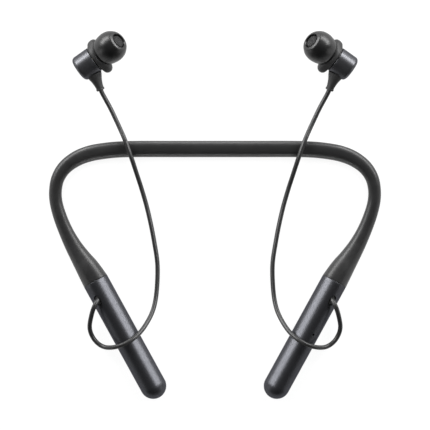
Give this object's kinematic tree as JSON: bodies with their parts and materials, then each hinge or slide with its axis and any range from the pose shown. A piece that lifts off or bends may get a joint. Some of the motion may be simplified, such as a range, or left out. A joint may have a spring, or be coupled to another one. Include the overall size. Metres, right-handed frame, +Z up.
{
  "type": "neckband earphones",
  "caption": "Springy silicone neckband with a slim round pod on each end; a short cord loops from each pod to an angled in-ear bud with a soft tip and wing.",
  "frame": {"origin": "centre of the object's footprint on the surface it lies on, without the cords", "axes": "+Z up from the surface, +Y towards the middle of the band, +X towards the pod that holds the controls"},
  "size_m": [0.1396, 0.1542, 0.0178],
  "materials": {
    "silicone": "matte",
    "pod_paint": "satin",
    "bud_metal": "satin",
    "tip_rubber": "satin",
    "shell_plastic": "matte",
    "cord_rubber": "satin",
    "button_rubber": "matte",
    "spring_metal": "satin",
    "steel": "satin",
    "magnet": "polished",
    "board_green": "satin",
    "switch_black": "matte",
    "loom_jacket": "satin",
    "film": "satin",
    "cell_wrap": "gloss",
    "foam": "matte",
    "light_guide": "gloss"
  },
  "bodies": {
    "root": {"neckband_bow": "silicone", "bow_spring_wire": "spring_metal", "bow_wiring_loom": "loom_jacket", "left_cord": "cord_rubber", "right_cord": "cord_rubber"},
    "left_arm": {"left_arm_sleeve": "silicone", "left_arm_spring_wire": "spring_metal", "left_arm_wiring_loom": "loom_jacket", "left_band_anchor": "shell_plastic", "left_pod_upper_casing": "pod_paint", "left_pod_lower_casing": "pod_paint", "left_cord_grommet": "button_rubber", "battery_cell": "cell_wrap", "battery_foam_pad": "foam", "battery_protection_board": "board_green"},
    "right_arm": {"right_arm_sleeve": "silicone", "right_arm_spring_wire": "spring_metal", "right_arm_wiring_loom": "loom_jacket", "right_band_anchor": "shell_plastic", "right_pod_upper_casing": "pod_paint", "right_pod_lower_casing": "pod_paint", "right_cord_grommet": "button_rubber", "main_board": "board_green", "radio_shield_can": "steel", "chip_antenna": "film", "board_screw_front": "steel", "board_screw_rear": "steel", "microphone": "steel", "microphone_gasket": "button_rubber", "charging_socket": "steel", "status_light_guide": "light_guide", "power_switch": "switch_black", "volume_up_switch": "switch_black", "play_switch": "switch_black", "volume_down_switch": "switch_black"},
    "left_bud": {"left_bud_housing": "bud_metal", "left_strain_relief": "silicone", "left_driver_basket": "steel", "left_driver_magnet": "magnet", "left_driver_diaphragm": "film", "left_front_shell": "shell_plastic", "left_nozzle_mesh": "steel", "left_ear_wing": "silicone"},
    "right_bud": {"right_bud_housing": "bud_metal", "right_strain_relief": "silicone", "right_driver_basket": "steel", "right_driver_magnet": "magnet", "right_driver_diaphragm": "film", "right_front_shell": "shell_plastic", "right_nozzle_mesh": "steel", "right_ear_wing": "silicone"},
    "left_tip": {"left_ear_tip": "tip_rubber"},
    "right_tip": {"right_ear_tip": "tip_rubber"},
    "flap": {"charging_flap": "button_rubber"},
    "power_key": {"power_button": "button_rubber"},
    "volume_up_key": {"volume_up_button": "button_rubber"},
    "play_key": {"play_button": "button_rubber"},
    "volume_down_key": {"volume_down_button": "button_rubber"}
  },
  "joints": [
    {"name": "left_arm_flex", "type": "hinge", "parent": "root", "child": "left_arm", "pos_m": [-0.06715, 0.0103, 0.0027], "axis": [0, 0, -1], "range_deg": [-6, 18], "stiffness_Nm_per_rad": 0.3, "deforming": ["left_cord"]},
    {"name": "right_arm_flex", "type": "hinge", "parent": "root", "child": "right_arm", "pos_m": [0.06715, 0.0103, 0.0027], "axis": [0, 0, 1], "range_deg": [-6, 18], "stiffness_Nm_per_rad": 0.3, "deforming": ["right_cord"]},
    {"name": "left_bud_swing", "type": "hinge", "parent": "root", "child": "left_bud", "pos_m": [-0.04798, 0.05244, 0.0042], "axis": [0, 0, 1], "range_deg": [-20, 20], "stiffness_Nm_per_rad": 0.001, "deforming": ["left_cord"]},
    {"name": "right_bud_swing", "type": "hinge", "parent": "root", "child": "right_bud", "pos_m": [0.04798, 0.05244, 0.0042], "axis": [0, 0, 1], "range_deg": [-20, 20], "stiffness_Nm_per_rad": 0.001, "deforming": ["right_cord"]},
    {"name": "left_tip_pull", "type": "slide", "parent": "left_bud", "child": "left_tip", "axis": [0.671, 0.4698, 0.5736], "range_m": [0, 0.0085]},
    {"name": "right_tip_pull", "type": "slide", "parent": "right_bud", "child": "right_tip", "axis": [-0.671, 0.4698, 0.5736], "range_m": [0, 0.0085]},
    {"name": "power_press", "type": "slide", "parent": "right_arm", "child": "power_key", "axis": [0.8763, -0.4818, 0], "range_m": [0, 0.0003], "stiffness_N_per_m": 200, "springref_m": -0.0003},
    {"name": "volume_up_press", "type": "slide", "parent": "right_arm", "child": "volume_up_key", "axis": [0.8763, -0.4818, 0], "range_m": [0, 0.0003], "stiffness_N_per_m": 200, "springref_m": -0.0003},
    {"name": "play_press", "type": "slide", "parent": "right_arm", "child": "play_key", "axis": [0.8763, -0.4818, 0], "range_m": [0, 0.0003], "stiffness_N_per_m": 200, "springref_m": -0.0003},
    {"name": "volume_down_press", "type": "slide", "parent": "right_arm", "child": "volume_down_key", "axis": [0.8763, -0.4818, 0], "range_m": [0, 0.0003], "stiffness_N_per_m": 200, "springref_m": -0.0003},
    {"name": "flap_open", "type": "hinge", "parent": "right_arm", "child": "flap", "pos_m": [0.0345, -0.06757, 0.00465], "axis": [-0.4818, -0.8763, 0], "range_deg": [0, 100], "stiffness_Nm_per_rad": 0.0001, "springref_deg": -11.46}
  ]
}
